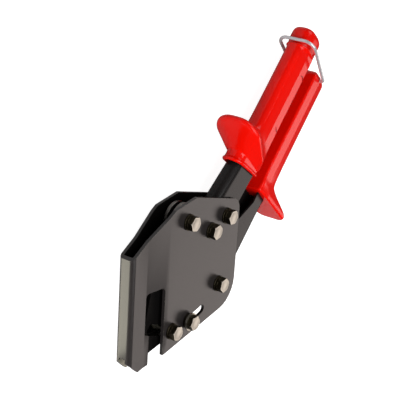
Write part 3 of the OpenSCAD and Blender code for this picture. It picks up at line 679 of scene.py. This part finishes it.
def upperStations():
    f, inner, g = gripLook["upperFront"], gripLook["upperInner"], gripLook["guardHalf"]
    back = inner + gripLook["depth"]
    top = back + gripLook["reach"]
    rim = (half + 0.5, 0.78 * g, 1.14 * g)
    lip = tuple(0.9 * w for w in rim)
    return [
        (f + 11, f + 8.6, inner + 2, back + 4.4, plain(-1.9), 1.4, 6.2, 0.25, 3.0),  # floor of the mouth
        (f + 3.4, f - 0.2, inner + 0.8, back + 6.8, plain(-1.7), 1.4, 6.4, 0.25, 3.0),
        (f + 2.8, f - 0.8, inner + 0.6, back + 7.1, plain(-1.4), 1.6, 6.6, 0.25, 3.0),
        (f + 2.7, f - 0.8, inner - 0.8, back + 7.8, plain(-0.3), 2.2, 7.4, 0.25, 3.0),
        (f + 3.6, f + 0.2, inner - 1.5, back + 8.7, plain(0.5), 2.2, 8.2, 0.25, 3.0),  # bead
        (f + 4.4, f + 1.5, inner - 1.5, back + 8.7, plain(0.5), 2.2, 8.2, 0.25, 3.0),
        (f + 5.0, f + 2.3, inner - 0.6, back + 7.7, plain(-0.2), 2.2, 7.9, 0.25, 3.0),
        (f + 6.6, f + 7.4, inner - 0.3, back + 7.7, plain(-0.1), 2.2, 8.0, 0.25, 3.0),
        (f + 6.8, f + 8.2, inner - 0.3, back + 7.9, plain(0.0), 2.2, 8.0, 0.25, 3.0),  # foot of the guard
        (f + 7.0, f + 9.0, inner - 0.2, back + 9.8, plain(1.0), 2.2, 8.6, 0.25, 3.0),
        (f + 7.6, f + 20.6, inner, top - 2.6, lip, 2.2, 0.74 * g, 0.2, 3.0),
        (f + 8.2, f + 22.6, inner, top - 0.3, rim, 2.2, 0.82 * g, 0.2, 3.0),
        (f + 9.4, f + 24.0, inner, top, rim, 2.2, 0.82 * g, 0.2, 3.0),
        (f + 10.6, f + 25.4, inner, top - 0.3, rim, 2.2, 0.82 * g, 0.2, 3.0),
        (f + 13, f + 27.4, inner, top - 3, lip, 2.2, 0.74 * g, 0.2, 3.0),
        (f + 17, f + 30, inner, back + 4, plain(1.0), 2.2, half, 0.35, 2.0),
        flatStation(f + 20, f + 32.5, inner, 0.8, 0.2), flatStation(f + 38, f + 38, inner)
        ] + knobEnd(gripLook["upperEnd"], inner, 1.2)


def lowerStations():
    f, inner, g = gripLook["lowerFront"], gripLook["lowerInner"], gripLook["lowerGuardHalf"]
    back = inner + gripLook["depth"]
    top = back + gripLook["reach"]
    rim = (half + 0.6, 0.84 * g, g)
    return [
        (f + 1, f - 1.4, inner - 0.2, top - 1.8, (rim[0] - 0.6, rim[1] - 0.9, g - 1.2), 2.2, 0.46 * g, 0.25, 3.0),
        (f + 1.6, f - 0.6, inner - 0.6, top - 0.4, (rim[0] - 0.2, rim[1] - 0.3, g - 0.4), 2.2, 0.5 * g, 0.25, 3.0),
        (f + 2.8, f + 0.8, inner - 0.7, top, rim, 2.2, 0.52 * g, 0.25, 3.0),
        (f + 5, f + 3.6, inner - 0.3, top - 0.8, tuple(w - 0.3 for w in rim), 2.2, 0.52 * g, 0.25, 3.0),
        (f + 8.6, f + 8.4, inner, back + 0.38 * gripLook["reach"], plain(1.2), 2.2, 0.52 * g, 0.25, 3.0),
        (f + 12.4, f + 12.4, inner, back + 1.2, plain(0.3), 1.8, half - 0.2, 0.35, 2.0),
        flatStation(f + 17, f + 17, inner)] + plainEnd(gripLook["lowerEnd"], inner)


loftGrip("upperGripSkin", upperStations(), False, "upper_grip", gripLook)
loftGrip("lowerGripSkin", lowerStations(), True, "lower_grip", gripLook)
print("grips lofted")


# stage, light and camera

stageLook = {
    "floorSize": 6.0, "floorDrop": 0.5 * mm, "floorGlow": 0.95, "floorColour": "#b2b2b2", "skyColour": "#fff3ed",
    "dimSky": 0.1, "brightSky": 2.1, "softBox": (0.21, -0.83, 0.517), "softFrom": 0.962, "softTo": 0.985}
cameraLook = {
    "place": (-0.1803, 0.7498, 0.4700), "right": (0.4391, -0.3925, 0.809), "back": (-0.256, 0.8075, 0.531),
    "lens": 108.0, "sensor": 36.0, "clip": 0.01}
lampLook = {
    "noseSide": {"from": (-0.9, 0.45, 0.35), "distance": 0.9, "size": 0.7, "watts": 7.0, "shine": False},
    "headSide": {"from": (-0.1, 0.25, 1.0), "distance": 0.9, "size": 0.8, "watts": 7.5, "shine": True},
    "gripSide": {"from": (0.9, 0.3, 0.6), "distance": 1.0, "size": 0.6, "watts": 2.0, "shine": True}}
stripLook = {  # low light before the nose
    "centre": (-30.0, -44.0), "lift": 1.0, "size": (48.0, 88.0), "watts": 0.067, "colour": "#fffae4"}


def buildStage():
    world = bpy.data.worlds.new("studio")
    bpy.context.scene.world = world
    world.use_nodes = True
    tree = world.node_tree
    tree.nodes.clear()
    output = addNode(tree, "ShaderNodeOutputWorld", (400, 0))
    light = addNode(tree, "ShaderNodeBackground", (0, 100), {"Color": hexColour(stageLook["skyColour"])})
    coords = addNode(tree, "ShaderNodeTexCoord", (-800, 100))
    facing = addNode(tree, "ShaderNodeVectorMath", (-600, 100),
                     {1: Vector(stageLook["softBox"]).normalized()}, operation="DOT_PRODUCT")
    level = addNode(tree, "ShaderNodeMapRange", (-300, 100),
                    {"From Min": stageLook["softFrom"], "From Max": stageLook["softTo"],
                     "To Min": stageLook["dimSky"], "To Max": stageLook["brightSky"]})
    tree.links.new(coords.outputs["Generated"], facing.inputs[0])
    tree.links.new(facing.outputs["Value"], level.inputs["Value"])
    tree.links.new(level.outputs["Result"], light.inputs["Strength"])
    seen = addNode(tree, "ShaderNodeBackground", (0, -100), {"Color": (1, 1, 1, 1), "Strength": 1.0})
    path = addNode(tree, "ShaderNodeLightPath", (-400, 300))
    mix = addNode(tree, "ShaderNodeMixShader", (200, 0))
    tree.links.new(path.outputs["Is Camera Ray"], mix.inputs["Fac"])
    tree.links.new(light.outputs["Background"], mix.inputs[1])
    tree.links.new(seen.outputs["Background"], mix.inputs[2])
    tree.links.new(mix.outputs["Shader"], output.inputs["Surface"])

    reach = stageLook["floorSize"] / 2
    mesh = bpy.data.meshes.new("floor")
    low = cadBox[0][2] - stageLook["floorDrop"]
    corners = [(-reach, -reach, low), (reach, -reach, low), (reach, reach, low), (-reach, reach, low)]
    mesh.from_pydata(corners, [], [(0, 1, 2, 3)])
    floor = bpy.data.objects.new("floor", mesh)
    bpy.context.scene.collection.objects.link(floor)
    material = bpy.data.materials.new("paleFloor")
    material.use_nodes = True
    tree = material.node_tree
    tree.nodes.clear()
    output = addNode(tree, "ShaderNodeOutputMaterial", (600, 0))
    matte = addNode(tree, "ShaderNodeBsdfDiffuse", (0, 100), {"Color": hexColour(stageLook["floorColour"])})
    glow = addNode(tree, "ShaderNodeEmission", (0, -100), {"Color": (1, 1, 1, 1)})
    path = addNode(tree, "ShaderNodeLightPath", (-600, 0))
    level = addNode(tree, "ShaderNodeMath", (-200, -150), {1: stageLook["floorGlow"]}, operation="MULTIPLY")
    both = addNode(tree, "ShaderNodeAddShader", (300, 0))
    tree.links.new(path.outputs["Is Camera Ray"], level.inputs[0])
    tree.links.new(level.outputs["Value"], glow.inputs["Strength"])
    tree.links.new(matte.outputs["BSDF"], both.inputs[0])
    tree.links.new(glow.outputs["Emission"], both.inputs[1])
    tree.links.new(both.outputs["Shader"], output.inputs["Surface"])
    mesh.materials.append(material)


def addLamp(name, look, target):
    lamp = bpy.data.lights.new(name, "AREA")
    lamp.energy = look["watts"]
    lamp.size = look["size"]
    holder = bpy.data.objects.new(name, lamp)
    bpy.context.scene.collection.objects.link(holder)
    direction = Vector(look["from"]).normalized()
    holder.location = target + direction * look["distance"]
    holder.rotation_euler = direction.to_track_quat("Z", "Y").to_euler()
    holder.visible_glossy = look["shine"]  # whether it shows in reflections


def addStrip(look):
    lamp = bpy.data.lights.new("noseStrip", "AREA")
    lamp.shape = "RECTANGLE"
    lamp.size, lamp.size_y = (side * mm for side in look["size"])
    lamp.energy = look["watts"]
    lamp.color = hexColour(look["colour"])[:3]
    holder = bpy.data.objects.new("noseStrip", lamp)
    bpy.context.scene.collection.objects.link(holder)
    holder.location = onTool(*look["centre"])
    holder.location.z = cadBox[0][2] - stageLook["floorDrop"] + look["lift"] * mm
    holder.rotation_euler = (math.pi, 0, math.radians(-headPlan["turn"]))
    holder.visible_camera = False


def buildCamera():
    lens = bpy.data.cameras.new("photoCamera")
    lens.lens = cameraLook["lens"]
    lens.sensor_width = cameraLook["sensor"]
    lens.clip_start = cameraLook["clip"]
    camera = bpy.data.objects.new("photoCamera", lens)
    bpy.context.scene.collection.objects.link(camera)
    right = Vector(cameraLook["right"]).normalized()
    back = Vector(cameraLook["back"])
    back = (back - right * back.dot(right)).normalized()
    up = back.cross(right)
    turn = Matrix((right, up, back)).transposed().to_4x4()
    camera.matrix_world = Matrix.Translation(cameraLook["place"]) @ turn
    bpy.context.scene.camera = camera


buildStage()
centre = (Vector(cadBox[0]) + Vector(cadBox[1])) / 2
for name, look in lampLook.items():
    addLamp(name, look, centre)
addStrip(stripLook)
buildCamera()
bpy.context.scene.view_settings.view_transform = "Standard"
print("stage, lamps and camera placed")
